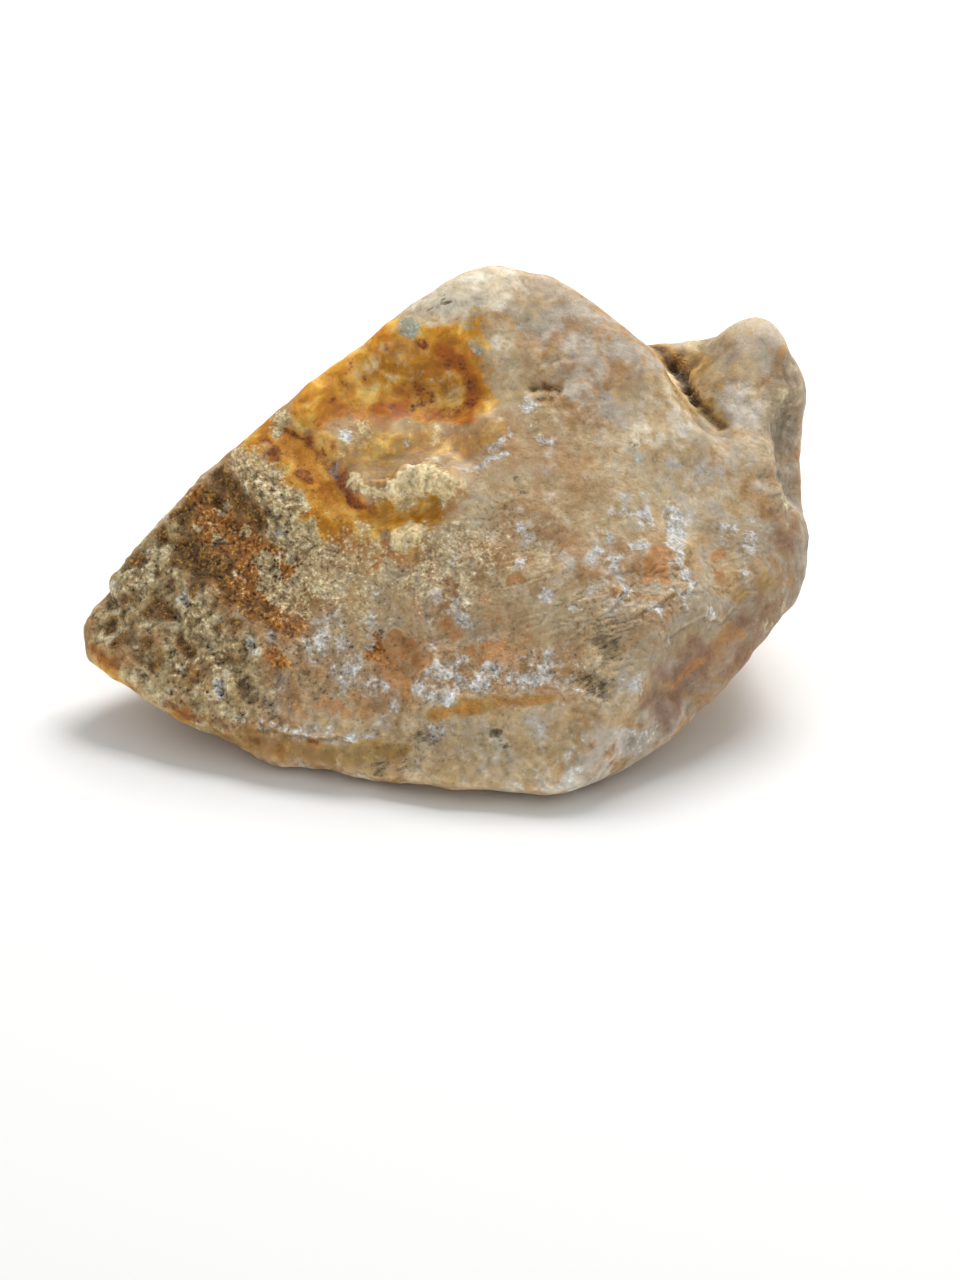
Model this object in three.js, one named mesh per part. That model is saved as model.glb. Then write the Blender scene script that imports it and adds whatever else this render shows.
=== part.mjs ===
// A hand-sized rough block of massive aragonite, broken out of a vein: one solid stone.
// Millimetres, +Z up. The long side runs along X and the broad broken face looks to -Y and up.
// The origin is the middle of the flat broken underside's level, below the centre of the block.
//
// The stone is the space inside two bodies of flat fractures, the main block and the knob behind its
// right shoulder. Their edges are worn round, swellings and hollows are laid along named lines, and a
// fine sphere is drawn in onto the result, so that the stone is one closed mesh.

import * as THREE from "three";
import { ConvexGeometry } from "three/addons/geometries/ConvexGeometry.js";
import { ImprovedNoise } from "three/addons/math/ImprovedNoise.js";
import { mergeVertices } from "three/addons/utils/BufferGeometryUtils.js";

// Driving dimensions
const LENGTH = 98;
const DEPTH = 66;
const HEIGHT = 56;

const EDGE_WEAR = 0.8; // how far the edges between fractures are rounded
const SEAM_WEAR = 1.4; // the same where the knob grows into the block
const SPHERE_DETAIL = 21; // 20 * (SPHERE_DETAIL + 1)^2 triangles
const SETTLE_ROUNDS = 50; // times that the mesh is evened out over the stone
const REACH = 90; // a distance that is outside the stone whichever way it is taken
const STEP = 1.2; // stride of the search for the surface from there
const DRAWS = 2; // times that a point close to the surface is drawn in onto it
const NUDGE = 0.05; // over which the steepness at such a point is measured

// A place in the stone: percent of the length from the middle, of the depth from the front, and of
// the height from the underside.
const at = (x, y, z) =>
  new THREE.Vector3((x / 100) * LENGTH, (y / 100) * DEPTH, (z / 100) * HEIGHT);

const MIDDLE = at(0, 50, 45);
const HEART = at(15, 48, 29); // the sphere is drawn in towards here

// Corners of the main block, line by line.
const FOOT_LINE = [
  at(17, -0.5, 4),
  at(-4, 4, 4),
  at(-19, 9, 4.5),
  at(-31.5, 18, 6),
  at(-39, 27, 10),
  at(-45, 33, 14.5),
];
const LEFT_TIP = [at(-52.5, 39, 20.5), at(-49.5, 42, 29.5), at(-47.5, 43.5, 34.5)];
const LEFT_CREST = [
  at(-42, 44.5, 44.5),
  at(-36.5, 47, 53.5),
  at(-29, 50, 62),
  at(-24, 54, 69.5),
  at(-20.5, 57, 75.5),
  at(-17, 59, 80.5),
  at(-13, 61, 84.5),
  at(-10, 63, 87.5),
  at(-6, 65, 90),
];
const SUMMIT = [
  at(-3, 67, 94),
  at(-0.5, 70.5, 98),
  at(4.5, 73.5, 100.5),
  at(7.5, 76, 100),
  at(10.5, 77.5, 98),
  at(16, 76, 95.5),
];
const SHOULDER = [
  at(21.5, 71, 91.5),
  at(25.5, 66, 88),
  at(28.5, 62, 85),
  at(31.5, 57.5, 79),
  at(35, 54.5, 72),
  at(38, 54, 67),
];
const FRONT_RIDGE = [
  at(17, -1, 10.5),
  at(23.5, 7.5, 24.5),
  at(25.5, 12, 33),
  at(27, 16.5, 39.5),
  at(31, 22, 42),
  at(36.5, 26.5, 40.5),
  at(42, 32, 42),
];
const RIGHT_HEEL = [
  at(23, 8, 2.5),
  at(29.5, 13.5, 7),
  at(33.5, 22, 11.5),
  at(37, 28, 16.5),
  at(41, 32.5, 22),
  at(45.5, 37, 26.5),
  at(49, 42.5, 31),
  at(49.5, 48.5, 43.5),
];
const BACK = [
  at(44, 85, 25),
  at(33, 97, 18),
  at(12, 100, 14),
  at(-10, 88, 9),
  at(-31, 66.5, 11),
  at(-43, 52, 18),
  at(10, 97, 62.5),
  at(-12, 83, 54),
];
const UNDERSIDE = [
  [-26, 36],
  [-14, 28],
  [0, 24],
  [12, 23],
  [19, 29],
  [25, 44],
  [29, 66],
  [22, 84],
  [5, 90],
  [-15, 80],
  [-28, 62],
  [-31, 49],
].map(([x, y]) => at(x, y, -5));

const BLOCK_CORNERS = [
  FOOT_LINE,
  LEFT_TIP,
  LEFT_CREST,
  SUMMIT,
  SHOULDER,
  FRONT_RIDGE,
  RIGHT_HEEL,
  BACK,
  UNDERSIDE,
].flat();

const KNOB_CORNERS = [
  at(28.5, 77, 76.5),
  at(31, 66, 69),
  at(34.5, 77, 77),
  at(39.5, 77.5, 80.5),
  at(43, 79, 88.5),
  at(47.5, 78, 84),
  at(50, 75, 77.5),
  at(50, 69, 71),
  at(49, 62, 65),
  at(39.5, 55.5, 67),
  at(43, 62, 73),
  at(45, 56, 63),
  at(41, 50.5, 60.5),
  at(44.5, 44, 51.5),
  at(41, 94, 64),
  at(31, 92, 69),
  at(20, 92, 64),
  at(24, 84, 72),
  at(46, 91, 45),
  at(49.5, 48.5, 43.5),
  at(30, 80, 25),
];

// Swellings and hollows along lines on the surface. Width is the half-width, lift is in mm.
const BOWL = [
  { line: [at(-9.5, 56, 79), at(-1, 54, 77.5)], width: 9, lift: -2.3 },
  { line: [at(-6, 59, 85), at(-13, 56, 78)], width: 5, lift: -0.5 },
  {
    line: [at(-8, 50.5, 71), at(-4.5, 51, 72.5), at(-0.5, 49, 71), at(4, 49, 72.5)],
    width: 3.5,
    lift: 0.9,
  },
];
const CRUSTS = [
  { line: [at(-3, 42, 63), at(1, 40.5, 62)], width: 4.5, lift: 2.2 },
  { line: [at(-10.5, 41, 60), at(-6.5, 39.5, 59)], width: 3, lift: 1.4 },
  { line: [at(-8, 37.5, 56), at(-2, 37, 58)], width: 4, lift: -1.9 },
  { line: [at(-4, 33.5, 52)], width: 3, lift: 1.2 },
  { line: [at(3.5, 29, 48.5), at(10, 26, 46.5), at(16.5, 26.5, 49.5)], width: 4, lift: 0.8 },
  { line: [at(-0.5, 25, 40.5), at(7.5, 22, 39.5), at(15, 22.5, 44.5)], width: 4, lift: 0.7 },
  { line: [at(10, 20, 38), at(15, 16, 35.5)], width: 5, lift: -0.9 },
  { line: [at(-6, 19, 30)], width: 5, lift: -1.1 },
];
const LEFT_PART = [
  { line: [at(-20, 49, 67), at(-16.5, 45.5, 64), at(-13.5, 41, 58.5)], width: 4, lift: -1.3 },
  { line: [at(-30, 42, 51), at(-25.5, 38, 48.5), at(-21.5, 33.5, 42)], width: 7, lift: -1.5 },
  { line: [at(-24.5, 44.5, 58), at(-20, 38, 50), at(-15, 29, 38)], width: 3.5, lift: 0.9 },
  { line: [at(-38, 35, 32), at(-34, 28, 24)], width: 5, lift: -1 },
  { line: [at(-49.5, 41.5, 25), at(-46, 38, 27)], width: 3.5, lift: -2.2 },
  { line: [at(-45.5, 34.5, 20), at(-40, 28, 14.5), at(-33, 21, 10)], width: 3, lift: 0.7 },
];
const FOOT_BAND = [
  { line: [at(-33, 23, 15.5), at(-27, 17.5, 12), at(-11, 11.5, 14)], width: 3.5, lift: 0.9 },
  { line: [at(-29.5, 18, 6.5), at(-14, 10, 9.5), at(-7, 8, 9.5)], width: 3.5, lift: -1 },
  { line: [at(-5.5, 7.5, 11), at(-2, 7.5, 14.5)], width: 3.5, lift: -0.9 },
  { line: [at(-0.5, 10, 18.5), at(5, 10, 22), at(17, 8.5, 23.5)], width: 4, lift: 1.1 },
  { line: [at(5, 5, 13.5), at(12.5, 3.5, 15.5)], width: 4.5, lift: -0.8 },
];
const RIGHT_PART = [
  { line: [at(18.5, 15, 36), at(23, 13, 35)], width: 5, lift: -1.5 },
  { line: [at(19, 10.5, 28.5), at(22, 9, 27)], width: 4, lift: -1 },
  { line: [at(22, 5.5, 16), at(25, 11.5, 30.5), at(27.5, 19.5, 39)], width: 4, lift: 0.9 },
  { line: [at(31.5, 23.5, 41), at(36.5, 28, 39.5), at(42, 34.5, 40.5)], width: 4, lift: 0.6 },
  { line: [at(36, 23.5, 30.5), at(38.5, 27.5, 35), at(41.5, 32, 38.5)], width: 3.5, lift: -0.8 },
  { line: [at(31.5, 16.5, 22.5)], width: 7, lift: -0.9 },
  { line: [at(33, 40.5, 57.5), at(34, 33.5, 49.5)], width: 9, lift: -1 },
  { line: [at(26, 27, 49.5), at(32.5, 31, 48.5)], width: 4, lift: 0.7 },
  { line: [at(16, 55, 79)], width: 9, lift: 0.9 },
  { line: [at(12.5, 54, 78.5), at(15, 53.5, 78.5)], width: 2.5, lift: -1.2 },
];
const CRACK = [
  { line: [at(30.5, 72, 77), at(33.5, 64.5, 74), at(36.5, 58.5, 68)], width: 4, lift: -3.4 },
  { line: [at(35.5, 57.5, 69.5), at(38.5, 56, 65.5)], width: 2.5, lift: -1.2 },
  { line: [at(31, 77, 78), at(36.5, 77, 80)], width: 6.5, lift: -2.6 },
  { line: [at(49, 61, 63), at(49.5, 56, 55)], width: 6, lift: -2.6 },
  { line: [at(40.5, 62, 71.5)], width: 6, lift: -0.6 },
];
const SUMMIT_CAP = [
  { line: [at(-3, 73, 94), at(3, 76, 99), at(8, 77.5, 98)], width: 8, lift: 0.3 },
  { line: [at(-5, 65, 93)], width: 4, lift: -0.8 },
];
const FAR_SIDE = [
  { line: [at(-30, 67, 30), at(-8, 84, 36), at(12, 98, 40)], width: 9, lift: 1.6 },
  { line: [at(-14, 76, 62), at(6, 88, 72)], width: 9, lift: -1.8 },
  { line: [at(24, 92, 58), at(40, 90, 50)], width: 7, lift: 1.4 },
  { line: [at(20, 99, 28), at(34, 95, 30)], width: 7, lift: -1.7 },
  { line: [at(-38, 58, 24), at(-26, 66, 17)], width: 6, lift: -1.3 },
  { line: [at(47, 70, 36), at(46, 84, 40)], width: 7, lift: -1.2 },
  { line: [at(-2, 96, 22)], width: 7, lift: 1.2 },
];
const RELIEF = [
  BOWL,
  CRUSTS,
  LEFT_PART,
  FOOT_BAND,
  RIGHT_PART,
  CRACK,
  SUMMIT_CAP,
  FAR_SIDE,
].flat();

// Unevenness of the broken faces, from broad waves to lumps.
const ROUGHNESS = [
  { wavelength: 21, height: 0.9 },
  { wavelength: 9, height: 0.6 },
  { wavelength: 4.5, height: 0.3 },
];

const MOST_RELIEF = 6; // the relief never lifts or sinks the surface by as much as this

const noise = new ImprovedNoise();

function fracturePlanes(corners) {
  const position = new ConvexGeometry(corners).getAttribute("position");
  const planes = [];
  const [a, b, c] = [0, 0, 0].map(() => new THREE.Vector3());
  for (let i = 0; i < position.count; i += 3) {
    a.fromBufferAttribute(position, i);
    b.fromBufferAttribute(position, i + 1);
    c.fromBufferAttribute(position, i + 2);
    const plane = new THREE.Plane().setFromCoplanarPoints(a, b, c);
    const known = planes.some((p) => p.normal.dot(plane.normal) > 0.9985);
    if (!known) planes.push(plane);
  }
  return planes;
}

// The largest of the values, with the change from one to the next rounded over the softness.
function softMax(values, softness) {
  const top = Math.max(...values);
  const sum = values.reduce((s, v) => s + Math.exp((v - top) / softness), 0);
  return top + softness * Math.log(sum);
}

const blockPlanes = fracturePlanes(BLOCK_CORNERS);
const knobPlanes = fracturePlanes(KNOB_CORNERS);

function heightOver(planes, point) {
  const heights = planes.map((plane) => plane.distanceToPoint(point));
  return softMax(heights, EDGE_WEAR) - EDGE_WEAR;
}

const nearest = new THREE.Vector3();
const segment = new THREE.Line3();

function distanceToLine(line, point) {
  if (line.length === 1) return line[0].distanceTo(point);
  let best = Infinity;
  for (let i = 1; i < line.length; i++) {
    segment.set(line[i - 1], line[i]);
    segment.closestPointToPoint(point, true, nearest);
    best = Math.min(best, nearest.distanceTo(point));
  }
  return best;
}

function relief(point) {
  let height = 0;
  for (const { line, width, lift } of RELIEF) {
    const share = distanceToLine(line, point) / width;
    if (share < 1) height += lift * (1 - share * share) ** 2;
  }
  for (const wave of ROUGHNESS) {
    const w = wave.wavelength;
    height += wave.height * noise.noise(point.x / w, point.y / w, point.z / w);
  }
  return height;
}

// Below zero inside the stone, above zero outside it.
function outside(point) {
  const block = heightOver(blockPlanes, point);
  const knob = heightOver(knobPlanes, point);
  const body = -softMax([-block, -knob], SEAM_WEAR);
  if (Math.abs(body) > MOST_RELIEF) return body;
  return Math.max(body - relief(point), -point.z);
}

// Moves a point that is close to the surface the shortest way onto it.
function drawOnto(point) {
  for (let i = 0; i < DRAWS; i++) {
    const height = outside(point);
    const rise = ["x", "y", "z"].map((axis) => {
      const nudged = point.clone();
      nudged[axis] += NUDGE;
      return (outside(nudged) - height) / NUDGE;
    });
    const wayOut = new THREE.Vector3(...rise);
    point.addScaledVector(wayOut, -height / Math.max(wayOut.lengthSq(), 0.3));
  }
  return point;
}

// The outermost point of the surface on the straight way from the heart of the stone to a point.
function surfaceTowards(point) {
  const direction = point.sub(HEART).normalize();
  const start = HEART.clone().addScaledVector(direction, REACH);
  while (outside(start) > STEP) start.addScaledVector(direction, -STEP);
  return drawOnto(start);
}

function neighboursOf(geometry) {
  const index = geometry.getIndex();
  const neighbours = Array.from(
    { length: geometry.getAttribute("position").count },
    () => new Set(),
  );
  for (let i = 0; i < index.count; i += 3) {
    const corners = [index.getX(i), index.getX(i + 1), index.getX(i + 2)];
    for (const from of corners)
      for (const to of corners) if (from !== to) neighbours[from].add(to);
  }
  return neighbours.map((set) => [...set]);
}

// Slides a mesh point half the way to the middle of its neighbours, of which far ones pull more.
function settled(point, ring) {
  const middle = new THREE.Vector3();
  let total = 0;
  for (const neighbour of ring) {
    const pull = neighbour.distanceTo(point);
    middle.addScaledVector(neighbour, pull);
    total += pull;
  }
  return drawOnto(middle.divideScalar(total).lerp(point, 0.5));
}

function stoneGeometry() {
  const sphere = new THREE.IcosahedronGeometry(1, SPHERE_DETAIL);
  sphere.deleteAttribute("normal");
  sphere.deleteAttribute("uv");
  const geometry = mergeVertices(sphere);
  const position = geometry.getAttribute("position");
  const neighbours = neighboursOf(geometry);

  // The sphere starts as long, deep and high as the block, so that its triangles are spread evenly.
  const radii = new THREE.Vector3(LENGTH, DEPTH, HEIGHT).multiplyScalar(0.6);
  let points = neighbours.map((_, i) => {
    const start = new THREE.Vector3().fromBufferAttribute(position, i);
    return surfaceTowards(start.multiply(radii).add(MIDDLE));
  });
  for (let round = 0; round < SETTLE_ROUNDS; round++)
    points = neighbours.map((ring, i) => settled(points[i], ring.map((j) => points[j])));
  points.forEach(({ x, y, z }, i) =>
    position.setXYZ(i, x, y, z < 0.01 ? 0 : z),
  );

  geometry.computeBoundingBox();
  const middle = geometry.boundingBox.getCenter(new THREE.Vector3());
  const size = geometry.boundingBox.getSize(new THREE.Vector3());
  geometry.translate(-middle.x, -middle.y, 0);
  geometry.scale(LENGTH / size.x, DEPTH / size.y, HEIGHT / size.z);
  geometry.computeVertexNormals();
  return geometry;
}

const aragonite = new THREE.MeshStandardMaterial({
  color: 0xd2b08c,
  roughness: 0.7,
  metalness: 0,
});

const stone = new THREE.Mesh(stoneGeometry(), aragonite);
stone.name = "aragonite_block";

const specimen = new THREE.Group();
specimen.add(stone);

export default specimen;
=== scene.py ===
"""A hand specimen of massive aragonite, broken out of a vein, resting on a pale floor.

The stone is one piece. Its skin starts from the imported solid, is cut finer, and gets the swellings,
pits, crusts and grain of the real surface. What lies where on the skin is kept as one attribute per
finish, and the stone's material reads those.
"""

import math

import bmesh
import bpy
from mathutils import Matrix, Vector, noise
from mathutils.bvhtree import BVHTree
from mathutils.kdtree import KDTree


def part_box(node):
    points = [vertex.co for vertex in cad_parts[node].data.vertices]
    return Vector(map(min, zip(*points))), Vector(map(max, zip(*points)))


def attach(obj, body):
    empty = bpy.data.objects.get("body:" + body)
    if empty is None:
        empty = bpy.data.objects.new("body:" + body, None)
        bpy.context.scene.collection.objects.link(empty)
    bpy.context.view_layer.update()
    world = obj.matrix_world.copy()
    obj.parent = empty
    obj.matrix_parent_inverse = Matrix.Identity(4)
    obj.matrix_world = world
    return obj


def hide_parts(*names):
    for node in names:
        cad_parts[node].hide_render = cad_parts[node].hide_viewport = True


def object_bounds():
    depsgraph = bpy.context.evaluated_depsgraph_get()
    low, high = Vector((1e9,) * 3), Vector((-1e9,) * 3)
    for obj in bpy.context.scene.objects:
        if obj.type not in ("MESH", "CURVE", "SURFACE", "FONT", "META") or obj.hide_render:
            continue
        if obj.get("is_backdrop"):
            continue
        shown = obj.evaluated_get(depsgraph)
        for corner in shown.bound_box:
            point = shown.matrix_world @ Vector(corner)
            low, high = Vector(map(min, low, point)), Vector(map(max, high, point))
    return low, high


MM = 0.001
NOISE_SEED = 21
noise.seed_set(NOISE_SEED)  # without a seed, noise vectors differ from run to run

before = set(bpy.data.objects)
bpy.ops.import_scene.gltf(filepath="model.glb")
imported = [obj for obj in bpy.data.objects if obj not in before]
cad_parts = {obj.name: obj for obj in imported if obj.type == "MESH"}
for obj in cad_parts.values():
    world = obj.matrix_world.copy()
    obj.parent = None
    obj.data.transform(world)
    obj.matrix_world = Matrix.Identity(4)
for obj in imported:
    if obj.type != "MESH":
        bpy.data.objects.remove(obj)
cad_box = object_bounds()
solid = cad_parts["aragonite_block"]
LOW, HIGH = (Vector(corner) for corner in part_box("aragonite_block"))
SIZE = HIGH - LOW


def at(x, y, z):
    """A place by percent of the length from the middle, of the depth from the front, of the height."""
    return Vector((x * SIZE.x, y * SIZE.y, z * SIZE.z)) / 100 + Vector((0, LOW.y, 0))


# ---------------------------------------------------------------------------------------------
# The skin of the stone
# ---------------------------------------------------------------------------------------------

CUTS = 2  # each makes four triangles of one, so the skin's grain is about half a millimetre
SMOOTHINGS = 3  # after each cut
SAME_SPOT = 0.001 * MM  # points closer than this are one


def smooth(bm):
    bmesh.ops.smooth_vert(
        bm, verts=bm.verts, factor=0.5, use_axis_x=True, use_axis_y=True, use_axis_z=True
    )


bm = bmesh.new()
bm.from_mesh(solid.data)
bmesh.ops.remove_doubles(bm, verts=bm.verts, dist=SAME_SPOT)
for _ in range(CUTS):
    bmesh.ops.subdivide_edges(bm, edges=bm.edges, cuts=1, use_grid_fill=True)
    for _ in range(SMOOTHINGS):
        smooth(bm)
bm.normal_update()
bm.verts.ensure_lookup_table()
skin = [v.co.copy() for v in bm.verts]
ways_out = [v.normal.copy() for v in bm.verts]
stone_before_detail = BVHTree.FromBMesh(bm)

IN_FRONT = -20  # percent of the depth, clear of the stone


def face(x, z):
    """The place on the broad front face that lies at this percent of the length and the height."""
    start = at(x, IN_FRONT, z)
    hit = stone_before_detail.ray_cast(start, Vector((0, 1, 0)))[0]
    return hit if hit is not None else start


def wander(place, far):
    """How a border strays from its line at a place, by up to about so many millimetres. It bends
    about every five millimetres, with finer bends about every two."""
    broad = noise.noise_vector(place / (5 * MM))
    fine = noise.noise_vector(place / (1.8 * MM))
    return (broad * 0.6 + fine * 0.6) * far * MM


def tree_of(places):
    tree = KDTree(len(places))
    for i, place in enumerate(places):
        tree.insert(place, i)
    tree.balance()
    return tree


STRAY = 2.0  # millimetres that the border of a finish wanders
ragged_tree = tree_of([p + wander(p, STRAY) for p in skin])
plain_tree = tree_of(skin)


def within(place, reach, ragged=True):
    """Skin points round a place, each with its distance as a share of the reach in millimetres."""
    tree = ragged_tree if ragged else plain_tree
    centre = place + wander(place, STRAY) if ragged else place
    for _, i, distance in tree.find_range(centre, reach * MM):
        yield i, distance / (reach * MM)


def eased(share):
    """The share, held between nought and one, with a soft start and end."""
    share = min(max(share, 0.0), 1.0)
    return share * share * (3 - 2 * share)


FINISHES = (
    "cream", "veil", "lilac", "pale", "flesh", "mauve", "ochre", "honey", "amber", "rust", "grey",
    "crust", "flaky", "frost", "salmon", "umber", "felt", "burn", "dirt_and_shade", "blue", "weathered",
)  # fmt: skip
HALO = 1.2  # a burnt mark has an amber rim so many millimetres wide
HALO_STRENGTH = 0.75
HEART = 1.3  # above one, a mark stays at full strength round its middle
STRIDE = 0.8  # millimetres between the spots of a path
finish = {name: [0.0] * len(skin) for name in FINISHES}
height = [0.0] * len(skin)


def spot(percents):
    """A place on the skin: on the front face by length and height, or near one given in full."""
    if len(percents) == 2:
        return face(*percents)
    return stone_before_detail.find_nearest(at(*percents))[0]


def path(places):
    """Spots on the line that joins these places, about a stride apart."""
    line = []
    for start, end in zip(places, places[1:]):
        steps = math.ceil((spot(end) - spot(start)).length / (STRIDE * MM))
        for k in range(steps):
            line.append(spot([a + (b - a) * k / steps for a, b in zip(start, end)]))
    line.append(spot(places[-1]))
    return line


def lay(name, reach, spots, strength):
    """Lays a finish round spots, fading from its middle to the reach in millimetres."""
    if name == "burn":
        lay("amber", reach + HALO, spots, HALO_STRENGTH * strength)
    field = finish[name]
    for place in spots:
        for i, share in within(place, reach):
            field[i] = max(field[i], strength * eased(HEART * (1 - share)))


def dabs(name, reach, places, strength=1.0):
    """Lays a finish round single places."""
    lay(name, reach, [spot(place) for place in places], strength)


def stroke(name, reach, places, strength=1.0):
    """Lays a finish along the line that joins the places."""
    lay(name, reach, path(places), strength)


def swell(lift, reach, places):
    """Raises the skin along a path by so many millimetres, or sinks it where that is negative."""
    most = {}
    for place in path(places):
        for i, share in within(place, reach, False):
            most[i] = max(most.get(i, 0.0), (1 - share * share) ** 2)
    for i, much in most.items():
        height[i] += lift * much


LEDGE_STRAY = 0.8  # millimetres that a ledge wanders from its path
LEDGE_DROP = 0.7  # millimetres over which it drops off
LEDGE_ENDS = 6  # spots of its path over which it rises at either end
LEDGE_FOOT = 0.25  # share of its lift by which its foot is sunk


def ledge(lift, reach, places):
    """Raises the skin to the left of a path, as one follows it on the outside of the stone. It
    drops off sharply at the path and dies away over the reach on both sides."""
    line = [place + wander(place, LEDGE_STRAY) for place in path(places)]
    nearest = {}
    for k, place in enumerate(line):
        for _, i, distance in plain_tree.find_range(place, reach * MM):
            if distance < nearest.get(i, (1,))[0]:
                nearest[i] = (distance, k)
    for i, (distance, k) in nearest.items():
        forward = line[min(k + 1, len(line) - 1)] - line[max(k - 1, 0)]
        left = ways_out[i].cross(forward).normalized()
        side = (skin[i] - line[k]).dot(left) / MM
        fade = (1 - distance / (reach * MM)) ** 1.5
        ends = eased(min(k, len(line) - 1 - k) / LEDGE_ENDS)
        height[i] += lift * ends * fade * (eased(side / LEDGE_DROP + 0.5) - LEDGE_FOOT)


# Honey-coloured, almost clear aragonite in the bowl below the crest.
dabs("honey", 7, [(-15, 78), (-12, 79), (-10, 77), (-14, 74), (-17, 74), (-9, 75)], 0.9)
stroke("honey", 5, [(-10, 86), (-5, 85), (-1, 89), (2, 89)])
stroke("honey", 3.6, [(-18, 72), (-10, 74), (-5, 74.5), (1, 73.5), (4, 76), (2.4, 84)])
dabs("honey", 6, [(-5, 78), (-2, 76), (-2, 83), (-7, 82)])
stroke("amber", 3, [(-15, 73), (-12, 72), (-8, 72)], 0.7)
stroke("amber", 1.9, [(-10, 73), (-4, 72.4), (0, 71.8), (2.4, 73), (3.8, 77), (3, 82), (-0.5, 85)], 1.1)
dabs("amber", 2.6, [(-6, 75.5), (-3.2, 76.2), (-12.8, 76)], 0.7)
stroke("amber", 2.2, [(-10, 87), (-7, 86), (-5, 84.5), (-2, 85)], 0.55)
dabs("amber", 3, [(-5, 76), (-3, 85), (-17, 71), (2, 86)], 0.6)
stroke("burn", 1.2, [(-0.6, 85), (2.2, 82.6), (3.4, 79), (3.2, 75), (1, 72.8), (-1.5, 72.2)], 0.55)
dabs("burn", 1.5, [(3.2, 75.2), (3.3, 79), (-3.6, 76.4), (-3, 86)], 0.85)
dabs("burn", 1, [(2.4, 82), (-5.2, 75.3), (-7.3, 73.4), (-2, 75.4), (-7, 84), (-4.4, 73.2)], 0.7)
dabs("burn", 0.9, [(-12.8, 81), (-15.4, 74), (-17.8, 71), (-19.5, 74), (-11, 78), (-9, 86.5)], 0.75)
dabs("burn", 0.8, [(-17.3, 70.5), (-20.5, 72), (-14, 77), (-1, 89.5), (1, 91), (-14, 79)], 0.6)
dabs("pale", 1.8, [(-1.6, 78.8), (0.2, 79.4), (0.4, 76.4)], 0.55)
# Painted light over the upper bowl, which faces away from the light.
dabs("pale", 6, [(-8, 81.5), (-4.5, 81), (-1.5, 80.5)], 0.42)
dabs("cream", 3, [(7.8, 82), (8, 86)])
dabs("pale", 2.4, [(7.6, 84), (8, 80.5), (7.2, 88)], 0.5)
stroke("pale", 2, [(-7, 69.6), (-5, 69.6), (-2, 69), (2, 69), (6, 71.5)], 0.35)
stroke("honey", 3, [(-8, 69), (-5, 68), (-2, 67.5), (2, 68), (6, 70)], 0.45)

# The honey band that runs down from it, with its dark brown streak.
stroke("honey", 4.5, [(-26, 67), (-21, 65), (-18, 61), (-16, 56), (-14, 53)])
stroke("honey", 4, [(-17, 53), (-11, 52), (-6, 54), (-2, 55)])
dabs("honey", 5, [(-16, 67), (-18, 57)], 0.5)
dabs("honey", 5, [(-12, 65), (-9, 66)], 0.35)
dabs("flesh", 7, [(-11, 66), (-5, 66), (1, 66), (6, 64), (6, 70)], 0.75)
dabs("ochre", 5, [(-12, 63), (-10, 69), (-4, 70), (-8, 66), (-9, 62)], 0.65)
dabs("crust", 2.2, [(-12, 67), (-14, 66), (-11, 70), (-2, 68.5)], 0.4)
stroke("amber", 2.5, [(-24, 65), (-20, 66), (-17, 60), (-15, 55)], 0.6)
dabs("amber", 2.5, [(-18.6, 60), (-17.5, 57.5)], 0.6)
stroke("amber", 2.5, [(-14, 53), (-8, 53.5), (-4, 54.5)], 0.4)
stroke("amber", 2.5, [(-14, 49), (-10, 48.5), (-6, 47)], 0.7)
stroke("burn", 1, [(-21.6, 68.7), (-19.8, 67.4), (-18.2, 65.9)], 0.9)
stroke("burn", 1, [(-18, 65.6), (-16, 63.5), (-14.4, 60)], 0.7)
stroke("burn", 1.1, [(-14.2, 59.6), (-13, 58), (-12.2, 56)])
dabs("burn", 1.4, [(-24.9, 67), (-23.1, 63.8), (-18.8, 61)], 0.9)
dabs("burn", 0.8, [(-15.2, 67), (-21.5, 64), (-24, 68.5), (-20, 62.5)], 0.7)

# Umber and rust in the hollow of the left half.
dabs("rust", 6, [(-31, 50), (-28, 47), (-26, 44), (-33, 46), (-24, 43)])
stroke("rust", 3.5, [(-31, 40), (-27, 36), (-22, 33.5), (-20, 32.5)])
dabs("rust", 3, [(-21, 42.5), (-34, 54), (-43, 39), (-9, 29)])
dabs("rust", 2.5, [(-23, 27), (-22, 25.5), (-47.5, 25), (-40, 21.5), (-33, 19), (-33, 17)], 0.9)
stroke("umber", 2.4, [(-31, 59.5), (-28.8, 57.5), (-27.6, 55)])
stroke("umber", 3, [(-36, 44.5), (-33.5, 42.5), (-30, 41)])
dabs("umber", 2.6, [(-25.4, 52.4), (-24.6, 51), (-32, 54.5), (-35, 51.5), (-38.6, 46), (-42.5, 40)])
stroke("umber", 2, [(-30.5, 39), (-27, 35), (-24, 34)], 0.7)

# Pale fibrous crust beside the hollow and along the edge above it.
stroke("felt", 4, [(-26, 62), (-23.8, 58.5), (-21, 54), (-19.4, 50), (-18, 46)], 0.9)
stroke("grey", 4.5, [(-26, 60), (-22, 54), (-20, 49)], 0.8)
stroke("felt", 3, [(-24, 43), (-23.4, 38), (-21.5, 35.5)], 0.9)
stroke("felt", 2, [(-23, 69), (-22, 71)], 0.9)
dabs("felt", 1.8, [(-31, 46), (-30, 53), (-27, 49), (-37, 44.5), (-40, 41), (-41, 37.5)])

# The crust that curls up in the middle of the face.
stroke("crust", 3.2, [(-6, 60), (-3, 63.5), (-0.5, 62.5), (0.7, 60)])
stroke("crust", 1.4, [(-12.5, 61), (-10, 59.6), (-7, 59.4)])
dabs("crust", 2.2, [(-4.2, 53), (-6.4, 51)])
dabs("honey", 4, [(-11, 64), (-9, 62)], 0.3)

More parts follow.
